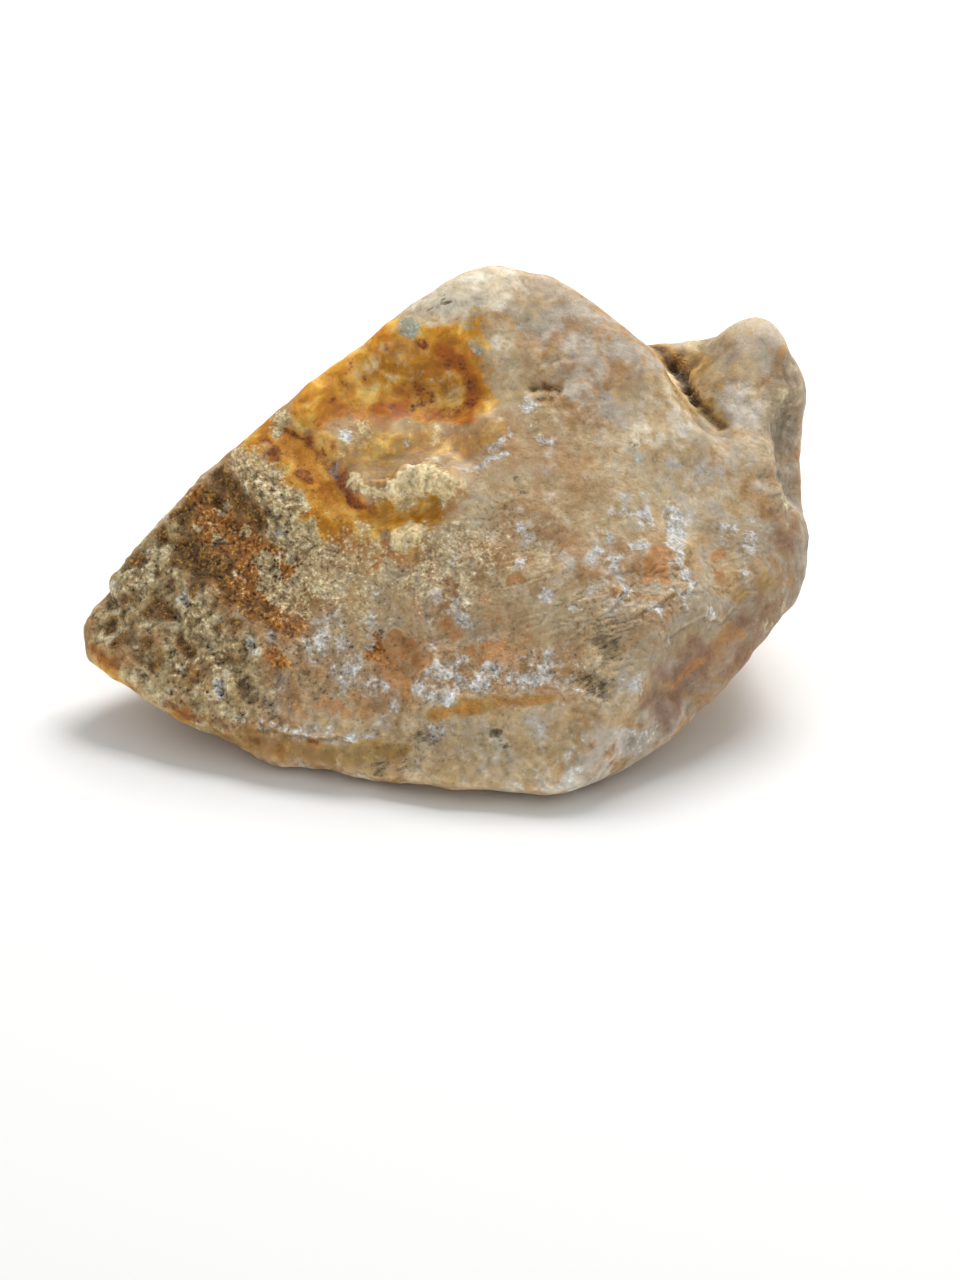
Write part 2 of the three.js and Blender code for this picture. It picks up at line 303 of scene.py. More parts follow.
# Felt of fine needles in the middle.
dabs("felt", 6, [(0, 51), (5, 50), (2, 46), (-3, 44), (-12, 44), (-8, 45), (-16, 41)], 0.65)
dabs("felt", 6, [(-18, 43), (-12, 40), (-14, 47), (-20, 38)], 0.7)
dabs("felt", 8, [(-34, 50), (-31, 45), (-36, 43), (-27, 42), (-28, 36)], 0.3)
dabs("cream", 8, [(-12, 41), (-10, 37)])
dabs("pale", 7, [(-14, 42), (-6, 45), (2, 48), (8, 53), (-17, 45), (-11, 40)], 0.5)
dabs("honey", 4, [(-12, 48), (-9, 46), (-5, 48), (-12, 39)], 0.45)
dabs("ochre", 4, [(-18, 39), (-16, 42), (-20, 36), (-25, 46)], 0.75)
dabs("flaky", 8, [(2, 50), (6, 46), (12, 44), (-6, 45)], 0.4)

# The weathered tip.
dabs("grey", 8, [(-45, 28), (-42, 38), (-38, 42), (-38, 32), (-33, 28), (-38, 20), (-29, 22)])
dabs("grey", 7, [(-33, 15), (-27, 17)], 0.8)
dabs("felt", 4, [(-38, 43), (-40, 38), (-44, 34), (-34, 33), (-36, 21), (-30, 24)], 0.6)
dabs("umber", 2, [(-38.6, 31.8), (-37.7, 30.4), (-40.5, 24.4), (-35.8, 25), (-34.2, 24)])
dabs("umber", 1.5, [(-39, 38), (-40.3, 29.9), (-33.5, 37.5), (-30.9, 34.4), (-43.7, 32)], 0.9)
dabs("umber", 1.4, [(-27.7, 31.4), (-30.5, 30), (-39.7, 20)], 0.9)
dabs("umber", 1, [(-34.7, 20.4), (-33.6, 19)], 0.8)
dabs("umber", 2, [(-45, 23), (-44, 24.5), (-46, 25)], 0.9)
dabs("frost", 1.8, [(-40.6, 41.5), (-40.5, 38.5), (-42.3, 35.5), (-22.5, 49.6), (-23.3, 30.3)], 0.9)
dabs("frost", 2, [(-26.3, 27.3), (-35.6, 34.2), (-30.6, 18.4), (-36.8, 16.5), (-18.2, 22)], 0.8)
stroke("ochre", 3.2, [(-49, 20), (-46, 18), (-42, 15), (-35, 10)])
stroke("honey", 2.6, [(-47, 18), (-42, 14), (-35, 9)], 0.5)
stroke("burn", 1.2, [(-48.5, 20.4), (-46.5, 19), (-44.6, 18.3)], 0.7)
stroke("rust", 1.8, [(-38.5, 13.8), (-35.6, 12.4), (-32, 10.8)], 0.9)
stroke("burn", 1.2, [(-37.5, 13.2), (-35.6, 12.4), (-33.5, 11.4)], 0.75)
dabs("rust", 2, [(-34.5, 20.2), (-33.2, 18.8), (-39.4, 21), (-36.5, 23)], 0.8)
# Grey-brown in two grooves near the tip, partly dirt and partly painted shade.
stroke("dirt_and_shade", 1.4, [(-28.4, 21.7), (-25.3, 18.7)], 0.55)
stroke("dirt_and_shade", 1.2, [(-24.3, 16.9), (-22.9, 15)], 0.6)

# Ochre along the foot of the face, with a pale ridge above and pale crumbs below.
stroke("frost", 2, [(-28, 12.4), (-22, 13), (-16, 13), (-10, 13.5)], 0.7)
dabs("pale", 3, [(-23, 2), (-19, 2), (-15, 3), (-11, 3), (-7, 3)], 0.7)
stroke("ochre", 2.8, [(-31, 6), (-28, 8), (-22, 8), (-15, 8.5), (-8, 9.5)], 0.8)
dabs("cream", 6, [(-14, 12), (-8, 12), (-10, 6), (-3, 8)])
stroke("ochre", 1.8, [(-9.1, 10.2), (-5.2, 11.5)])
dabs("burn", 1.2, [(-26.3, 8.6), (-22.2, 6.7), (-17.6, 11)], 0.6)

# Whitish frost of fine needles.
dabs("frost", 7, [(-18, 28), (-13, 28), (-18, 22), (-8, 23), (-12, 35), (-3, 24), (-1, 20)], 0.6)
dabs("frost", 8, [(0, 30), (6, 27), (13, 27), (0, 40), (7, 36), (-5, 42), (-15, 40), (-9, 40)], 0.6)
dabs("frost", 2.6, [(-14, 40), (-9, 41), (-16, 45), (-17, 21), (-13.5, 21), (-1, 41), (1, 48)], 0.85)
dabs("frost", 3.5, [(-1, 26), (1, 25), (5.6, 28.8), (9.3, 27.7), (13, 28.5), (2, 29), (-10, 36)], 0.8)
dabs("frost", 3, [(-17, 23), (-19, 29), (1, 40), (-10, 31)], 0.8)
stroke("frost", 1.6, [(4, 64.3), (6, 66.5), (7.8, 70)], 0.9)
stroke("frost", 1.4, [(11, 77), (11.5, 74), (12.5, 70)], 0.9)
dabs("frost", 1.6, [(-5.5, 68), (-13.9, 69), (-1.6, 79.4), (-3.4, 80), (-15.1, 62), (-22.5, 69.5)], 0.95)
stroke("frost", 2.6, [(29.6, 55.4), (30.5, 51), (31.5, 45)], 0.9)
dabs("frost", 2.6, [(26.9, 54.5), (25.3, 52), (22, 49), (11, 53), (39, 49), (41, 46)], 0.85)
dabs("frost", 4, [(14, 14), (16, 12), (11, 7), (15, 8), (17, 17), (26, 14)], 0.6)
# Whitish frost with a painted highlight along the ridge.
stroke("frost", 2, [(25, 39), (29, 41), (32, 42.5)], 0.6)
dabs("frost", 9, [(28, 52), (38, 47), (24, 62)], 0.3)
dabs("frost", 2.2, [(8, 57), (10, 49), (20, 50), (21.5, 54), (24, 57), (26, 55), (13, 43)], 0.75)
dabs("frost", 2, [(29, 49), (32, 43), (3, 41), (-6, 40), (-8, 44), (-3, 37), (17, 41), (23, 43)], 0.8)
dabs("frost", 2.6, [(4.5, 26.5), (6, 26), (2, 27)], 0.9)
dabs("veil", 8, [(26, 50), (30, 46), (21, 46), (32, 52)], 0.5)

# Milky veils over the upper right, and the creamier right half and foot.
dabs("veil", 9, [(19, 83), (22, 78), (24, 86), (27, 84)], 0.6)
dabs("veil", 9, [(30, 68), (34, 60), (38, 55), (18, 50)], 0.5)
dabs("veil", 4.5, [(39.5, 61.5, 70.5), (41, 60, 68), (44.5, 72, 81), (14, 90)])
dabs("ochre", 4, [(38, 67, 75.5), (41, 68, 77)], 0.2)
# Painted shade on the rounded lip below the crack's end and on the low part of the knob, where they would
# catch the light.
dabs("lilac", 4, [(35.5, 60, 66), (37, 60, 65.5), (34.5, 58, 68)], 0.9)
dabs("lilac", 4, [(34.3, 50, 66.5), (38.4, 54.4, 63.6)], 0.9)
dabs("veil", 8, [(28, 13), (26, 9), (18, 7), (20, 12)], 0.9)
dabs("veil", 6, [(10, 14), (3, 13), (14, 8), (8, 6), (14, 17)], 0.5)
dabs("lilac", 9, [(16, 64, 92), (20, 62, 90), (26, 60, 86), (18, 86), (24, 78)], 0.75)
dabs("lilac", 9, [(26, 35), (33, 38), (41, 35), (38, 48), (44, 44), (30, 30), (41, 28)], 0.8)
dabs("lilac", 9, [(26, 52), (24, 42), (19, 23), (27, 62), (41, 57)], 0.45)
dabs("lilac", 9, [(12, 68, 97), (20, 66, 94), (26, 78)], 0.6)
dabs("ochre", 5, [(9, 77), (9.5, 73), (8, 82)], 0.35)
dabs("cream", 6, [(9, 77), (10, 72)], 1.2)
# Painted shade along the right edge, where the side turns away from the light.
dabs("lilac", 8, [(49, 50, 44), (49, 56, 54), (49, 60, 64), (48, 66, 74), (48, 45, 36), (46, 40, 26)], 1.3)
dabs("lilac", 6, [(5, 35), (-8, 36), (47, 66), (45, 58), (46, 52), (46, 44), (42, 74, 86)], 0.8)
dabs("lilac", 6, [(44, 70, 84), (47, 70, 76), (48, 64, 64), (36, 74, 82)], 0.9)
dabs("lilac", 7, [(-22, 18), (-15, 19), (-8, 19), (-14, 25), (-28, 16), (0, 18)], 0.7)
dabs("cream", 12, [(20, 62), (28, 58), (34, 52), (30, 72), (38, 66), (38, 77, 80)])
dabs("cream", 10, [(8, 62), (4, 58), (10, 42), (14, 16), (6, 12), (24, 30), (-2, 12)])
dabs("cream", 7, [(5, 86), (8, 76), (-8, 67), (34, 34)], 0.8)
dabs("pale", 5, [(15, 8), (16, 3)], 0.7)
dabs("pale", 8, [(0, 68, 96), (5, 70, 99)], 1.2)
dabs("lilac", 7, [(12, 64, 92), (13, 68, 97)], 0.9)
# Darker and greyer towards the foot of the face.
dabs("lilac", 8, [(11, 25), (18, 14), (27, 9), (0, 20), (-11, 21), (33, 17), (41, 26)], 0.55)
dabs("cream", 10, [(0, 68, 96), (5, 70, 99), (10, 70, 96)], 0.6)
dabs("pale", 5, [(30, 75), (26, 70)], 0.6)

# Smooth flesh-coloured islands between.
dabs("salmon", 2.2, [(-7, 30.5), (-5, 31), (-4.3, 28), (-6, 26.5), (-7.5, 28)], 1.2)
dabs("salmon", 2, [(3, 31.5), (5, 32)])
dabs("salmon", 2, [(0.3, 35), (1, 33.5), (36.8, 46), (36.4, 43), (9, 46), (-6, 24)], 0.9)
stroke("salmon", 2, [(28.1, 50.5), (27.4, 47.5), (28.6, 47)])
stroke("salmon", 2, [(-18, 18.5), (-14, 18), (-9, 18.5)], 0.5)
stroke("salmon", 2, [(-1, 55), (1, 57), (2, 60)], 0.6)
dabs("salmon", 4, [(-5, 40), (6, 38), (10, 36), (9, 33), (5, 42)], 0.5)
dabs("flesh", 7, [(14, 65), (18, 63), (13, 69), (10, 57)], 0.6)
dabs("flesh", 5, [(10, 50), (11.5, 45), (12, 34), (21, 56), (25, 81)], 0.5)
dabs("ochre", 4, [(11, 94), (4, 94), (25, 78), (12, 34), (5.6, 77)], 0.4)
stroke("ochre", 1.5, [(6.6, 23.5), (10, 23.7), (13.6, 24.6)])
stroke("amber", 1, [(6.6, 23.5), (10, 23.7), (13.6, 24.6)], 0.6)
stroke("ochre", 2, [(-1.4, 19.6), (0.7, 21.2), (3.2, 21.5)])
stroke("amber", 1.2, [(-1.4, 19.6), (0.7, 21.2), (3.2, 21.5)], 0.6)

# Grey-brown in hollows, partly dirt and partly painted shade; dark specks, and blue-grey spots.
dabs("dirt_and_shade", 2.5, [(20, 34.4), (22.2, 35.4), (21.2, 32.3), (17.4, 28), (20, 27.6), (19.5, 25.3)], 0.6)
dabs("dirt_and_shade", 1.4, [(-3.6, 15), (-2.2, 14.2), (6.6, 16.3), (7.7, 14.7), (-8.5, 7), (-5.8, 7.8)], 0.8)
dabs("dirt_and_shade", 1, [(9.4, 62.5), (9.7, 61.2), (21.4, 62.6), (-2.5, 93), (-0.4, 95), (1.8, 12.4)], 0.7)
dabs("dirt_and_shade", 0.9, [(24.8, 68.7), (-8.8, 33), (-5.6, 32), (-16, 30.4), (-30.5, 46)], 0.9)
stroke("umber", 0.9, [(11.7, 78.6), (13, 79), (15, 78.7)], 0.8)
stroke("umber", 0.8, [(12.2, 77), (13.8, 77)], 0.8)
dabs("blue", 2.2, [(-5.6, 89.3), (-4.5, 88.5)], 0.9)
dabs("blue", 1.8, [(4, 86.2), (3, 91), (10, 90), (22.4, 66.4), (24.5, 68)], 0.6)

# The right side, with the crack between the block and the knob.
CRACK = [
    (29, 84, 76),
    (31, 77, 74),
    (32.4, 71.8, 73),
    (33, 68, 71.5),
    (34.2, 65, 69.5),
    (36, 62, 67),
    (37.5, 60, 65.5),
]
LIP = [(30.6, 60, 77), (31.7, 56, 74.5), (33.2, 61, 69)]
dabs("mauve", 6, [(28.3, 22.3), (31.2, 22), (30.1, 19), (33, 25)], 0.8)
# Painted shade on the lower right facets and at the right edge, which face away from the light.
dabs("mauve", 8, [(34, 16), (38, 22), (42, 28)], 0.55)
dabs("mauve", 4, [(46, 49), (45.5, 45)], 0.45)
stroke("flesh", 2.2, [(26, 25), (31, 31), (36, 35), (41, 39)], 0.6)
dabs("frost", 2, [(25, 27), (29, 34), (35, 37.5), (40, 42), (37, 40)], 0.7)
stroke("salmon", 1.5, [(30, 22), (35, 28), (38, 31)], 0.7)
stroke("flesh", 3, [(33, 32), (36.3, 33), (38.3, 36), (41.5, 38.6)], 0.6)
dabs("ochre", 3, [(39, 38), (42, 39)], 0.6)
dabs("lilac", 6, [(28, 12.7), (26, 9), (35, 22)], 0.7)
dabs("grey", 4, [(46.3, 66, 73), (44.9, 62, 69), (47.7, 65, 68), (46, 54), (44, 30)], 0.5)
stroke("ochre", 3, [(30.2, 81, 75), (33.9, 76, 75.5), (34.6, 72, 75.2)])
stroke("umber", 2, [(31.8, 79, 75.2), (33.3, 74.6, 74.7)], 0.9)
# Along the crack, a dark brown stain with painted shade in it.
stroke("umber", 1.2, CRACK[:5])
stroke("dirt_and_shade", 0.8, CRACK[1:5])
stroke("ochre", 1.6, CRACK[4:])
stroke("umber", 0.8, CRACK[4:], 0.9)
# Painted shade on the crack's left lip, where the rounded lip would catch the light.
stroke("ochre", 2.2, LIP, 0.8)
stroke("umber", 1.2, LIP, 0.5)
dabs("flaky", 6, [(17, 39), (21, 41), (25, 43), (29, 44)])
dabs("flaky", 6, [(45, 56), (44, 62), (38, 42), (20, 30)], 0.4)

# The back and the underside, with the same finishes in broader patches.
dabs("cream", 16, [(5, 85, 80), (-18, 80, 50), (20, 95, 55), (38, 90, 70), (0, 95, 20)])
dabs("veil", 12, [(-6, 88, 66), (10, 98, 44), (30, 95, 30), (-22, 76, 30)], 0.8)
dabs("lilac", 14, [(15, 98, 22), (-12, 90, 22), (42, 85, 40), (24, 96, 66), (0, 80, 90)], 0.8)
dabs("grey", 12, [(-42, 62, 25), (-34, 74, 22), (-28, 76, 40)], 0.9)
dabs("rust", 8, [(-37, 62, 46), (-30, 68, 58), (12, 98, 12)], 0.6)
dabs("ochre", 9, [(-8, 75, 80), (-20, 75, 62), (34, 95, 48), (28, 92, 8)], 0.6)
dabs("frost", 10, [(0, 95, 34), (24, 98, 50), (-16, 84, 40), (40, 92, 56)], 0.6)
dabs("felt", 7, [(-20, 78, 52), (6, 97, 55), (34, 96, 20)], 0.5)
dabs("weathered", 24, [(-30, 80, 40), (-5, 92, 45), (22, 98, 35), (5, 85, 75), (40, 92, 55)], 0.6)
dabs("weathered", 16, [(46, 82, 50), (44, 60, 18), (46, 70, 30)], 0.6)
dabs("grey", 9, [(47, 80, 62), (44, 78, 25)], 0.5)
dabs("frost", 8, [(47, 74, 40), (45, 62, 18), (46, 84, 52)], 0.6)
dabs("veil", 10, [(47, 70, 34), (44, 88, 44)], 0.7)

# How far the skin is weathered: much at the tip, little in the sound stone at the right.
dabs("weathered", 20, [(-45, 28), (-35, 45), (-28, 25)], 1.1)
dabs("weathered", 16, [(-22, 55), (-15, 30), (-18, 45)], 0.9)
dabs("weathered", 14, [(-5, 45), (-3, 30), (-5, 15), (8, 50), (6, 28)], 0.6)
dabs("weathered", 8, [(20, 34), (19, 27), (20, 42)], 0.6)

# The small forms.
swell(-0.2, 4.5, [(-5, 76), (-2, 75), (1, 76)])
swell(0.2, 2.5, [(6, 72.5), (3, 68.5), (0, 67), (-4, 67.5), (-6, 69), (-9, 67.5)])
ledge(1.1, 6, [(0.5, 64.5), (-2, 66), (-5, 65), (-7, 62), (-12, 61)])
swell(1.1, 2.8, [(-2, 62.5), (0.5, 62.5)])
swell(-0.5, 2.6, [(-8, 55.5), (-2, 57)])
for crumb in (-7, 58.5), (-4.2, 53), (-6.4, 51):
    swell(0.6, 1.8, [crumb])
ledge(0.25, 3, [(20, 84), (16, 84.5), (13, 83), (11, 80)])
swell(-0.35, 1.1, [(11.7, 78.6), (13, 79), (15, 78.7)])
swell(-0.3, 1, [(12.2, 77), (13.8, 77)])
ledge(0.4, 4, [(20, 46), (23, 47), (27, 49)])
ledge(0.5, 4, [(16, 38), (19, 39), (22, 42), (26, 47)])
ledge(0.5, 4, [(22, 38), (26, 41), (31, 42.5), (36, 42)])
ledge(0.4, 4, [(27, 34), (34, 36), (36.5, 33), (40, 38)])
ledge(-0.8, 4, [(-45, 25), (-42, 21), (-38, 16)])
ledge(0.7, 3, [(-27, 12), (-19, 12.5), (-10, 12)])
swell(-0.5, 1.8, [(-29, 23), (-26, 18)])
swell(-0.3, 1.2, [(-24, 17), (-22, 14)])
swell(-1.4, 2.2, [(-48, 38, 31), (-48, 44, 31)])
ledge(0.7, 3, [(-19, 48), (-21, 47), (-24, 53), (-26, 59)])
swell(-0.7, 2.2, [(-31, 55), (-28, 50)])
swell(-0.6, 3, [(-35, 45), (-32, 40), (-26, 38)])
swell(-0.7, 2, [(20, 35), (22, 33)])
swell(-0.6, 2, [(19, 27), (21, 26)])
swell(-0.3, 1.6, [(43, 58), (47, 55)])
swell(-0.5, 5, [(29, 22), (32, 22)])
swell(-0.6, 1.3, CRACK[:2])
swell(-1.7, 1.4, CRACK[1:4])
swell(-0.9, 1.2, CRACK[3:5])
swell(-0.6, 1.2, CRACK[4:])
swell(-0.7, 2.5, [(33.3, 74.6, 74.7), (32, 78.5, 75.2)])
swell(0.4, 3.5, [(39, 56, 63), (38, 56, 62)])
swell(1.6, 7, [(39, 72, 86), (43, 76, 86)])
swell(-1.8, 6, [(48.5, 62, 63), (49, 55, 54)])
swell(-0.5, 6, [(49, 50, 44), (48.5, 46, 36)])
swell(0.6, 6, [(-21, 57, 75), (-17, 59, 80.5), (-13, 61, 84.5)])
swell(0.8, 7, [(17, 75, 95), (21.5, 71, 91.5)])
swell(0.5, 4, [(-49, 42, 31), (-50, 41, 26)])
ledge(0.6, 12, [(-24, 80, 58), (-8, 88, 62), (2, 92, 52), (10, 96, 44)])
ledge(0.5, 9, [(24, 97, 22), (12, 98, 30), (2, 96, 22)])
swell(-1.0, 11, [(-14, 88, 44), (0, 95, 38)])
swell(-0.9, 9, [(26, 97, 36), (34, 95, 46)])
swell(-0.8, 9, [(6, 84, 80), (16, 88, 70)])
swell(-0.7, 7, [(-22, 78, 26), (-12, 88, 20)])

# How much each finish roughens the skin, or calms it.
ROUGH = {
    "weathered": 0.35,
    "felt": 0.6,
    "crust": 0.35,
    "grey": 0.8,
    "frost": 0.6,
    "umber": 0.8,
    "rust": 0.3,
    "dirt_and_shade": 0.5,
    "flaky": 0.25,
}
CALM = {
    "honey": 0.8,
    "flesh": 0.6,
    "salmon": 0.6,
    "ochre": 0.4,
    "pale": 0.6,
    "mauve": 0.6,
    "veil": 0.4,
    "lilac": 0.4,
}
LEAST_ROUGH = 0.12
MOST_ROUGH = 1.3
LEAST_WEATHERED = 0.15
THIN_FROST = 0.12  # laid everywhere, and once more by how far the skin is weathered
THIN_VEIL = 0.18
THIN_FLESH = 0.22
roughness = []
for i, place in enumerate(skin):
    finish["weathered"][i] = max(finish["weathered"][i], LEAST_WEATHERED)
    finish["felt"][i] *= 1 - 0.85 * min(finish["umber"][i], 1)  # umber shows through the felt
    # What is laid thinly gives way to the honey-coloured stone and to its stains.
    taken = max(finish[name][i] for name in ("honey", "salmon", "rust", "umber", "ochre"))
    frosted = THIN_FROST + THIN_FROST * finish["weathered"][i]
    for name, least in ("frost", frosted), ("veil", THIN_VEIL), ("lilac", 0):
        much = max(finish[name][i], least)
        finish[name][i] = much ** (1 + 2 * taken) - 0.4 * taken * (1 - much)
    finish["flesh"][i] = max(finish["flesh"][i], THIN_FLESH)
    rough = LEAST_ROUGH + sum(share * finish[name][i] for name, share in ROUGH.items())
    for name, share in CALM.items():
        rough *= 1 - share * finish[name][i]
    rough = min(rough, MOST_ROUGH)
    roughness.append(rough)
    # Unevenness in millimetres, from swells as wide as a finger down to crumbs.
    swells = noise.noise(place / (13 * MM))
    broad = noise.fractal(place / (5.5 * MM), 1.0, 2.1, 3)
    crumbs = noise.fractal(place / (1.8 * MM), 0.7, 2.0, 2)
    chips = noise.ridged_multi_fractal(place / (3.6 * MM), 1.0, 2.0, 2, 1.0, 2.0) - 1.0
    height[i] += 0.5 * swells + 0.4 * broad + rough * (0.35 * crumbs + 0.22 * chips)
    # The stone's layers end in little steps that run along the face, most where it is flaky.
    turned = Vector((0.4 * place.x, place.y, place.z - 0.25 * place.x)) / (5 * MM)
    layer = 1.6 * noise.fractal(turned, 0.8, 2.1, 4)
    above = layer - math.floor(layer)
    height[i] += 0.3 * (0.2 + finish["flaky"][i]) * (eased(above / 0.35) - above - 0.5)

HIGHEST = 2 * MM
DEEPEST = -3 * MM
for v, out, h in zip(bm.verts, ways_out, height):
    v.co += out * max(min(h * MM, HIGHEST), DEEPEST)
    for axis in range(3):  # the skin stays inside the solid's box
        v.co[axis] = min(max(v.co[axis], LOW[axis]), HIGH[axis])
bm.normal_update()


def ring_middle(v):
    """The middle of a point's neighbours."""
    others = [edge.other_vert(v).co for edge in v.link_edges]
    return sum(others, Vector()) / len(others)


# How far each point stands out from its neighbours: 0 in a pit, 1 on a peak. The material paints shade
# into the pits and a highlight onto the peaks from it.
RELIEF_GAIN = 6  # for each millimetre
relief = []
for v, out in zip(bm.verts, ways_out):
    relief.append(0.5 + RELIEF_GAIN * (v.co - ring_middle(v)).dot(out) / MM)
finish["relief"] = [min(max(share, 0.0), 1.0) for share in relief]
finish["rough"] = roughness

stone_mesh = bpy.data.meshes.new("aragonite_stone")
bm.to_mesh(stone_mesh)
bm.free()
stone_mesh.shade_smooth()
for name, field in finish.items():
    stone_mesh.attributes.new(name, "FLOAT", "POINT").data.foreach_set("value", field)
stone = bpy.data.objects.new("aragonite_stone", stone_mesh)
bpy.context.collection.objects.link(stone)
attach(stone, "root")
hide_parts("aragonite_block")


# ---------------------------------------------------------------------------------------------
# Materials
# ---------------------------------------------------------------------------------------------


def linear(hex_colour):
    """An sRGB hex colour as linear red, green, blue and alpha."""
    values = [int(hex_colour[k : k + 2], 16) / 255 for k in (1, 3, 5)]
    return (*[v / 12.92 if v <= 0.04045 else ((v + 0.055) / 1.055) ** 2.4 for v in values], 1)


def add(tree, kind, settings=None, **links):
    """Adds a node. Settings are its attributes. Links go by input name, or by _number, and each is
    a value or another node's output."""
    node = tree.nodes.new("ShaderNode" + kind)
    for name, value in (settings or {}).items():
        setattr(node, name, value)
    for name, value in links.items():
        socket = node.inputs[int(name[1:]) if name[0] == "_" else name.replace("_", " ")]
        if isinstance(value, bpy.types.NodeSocket):
            tree.links.new(value, socket)
        else:
            socket.default_value = value
    return node


PINHOLES_APART = 1.7  # millimetres
PINHOLE_FROM = 0.62  # the random shade from which a cell has a pinhole


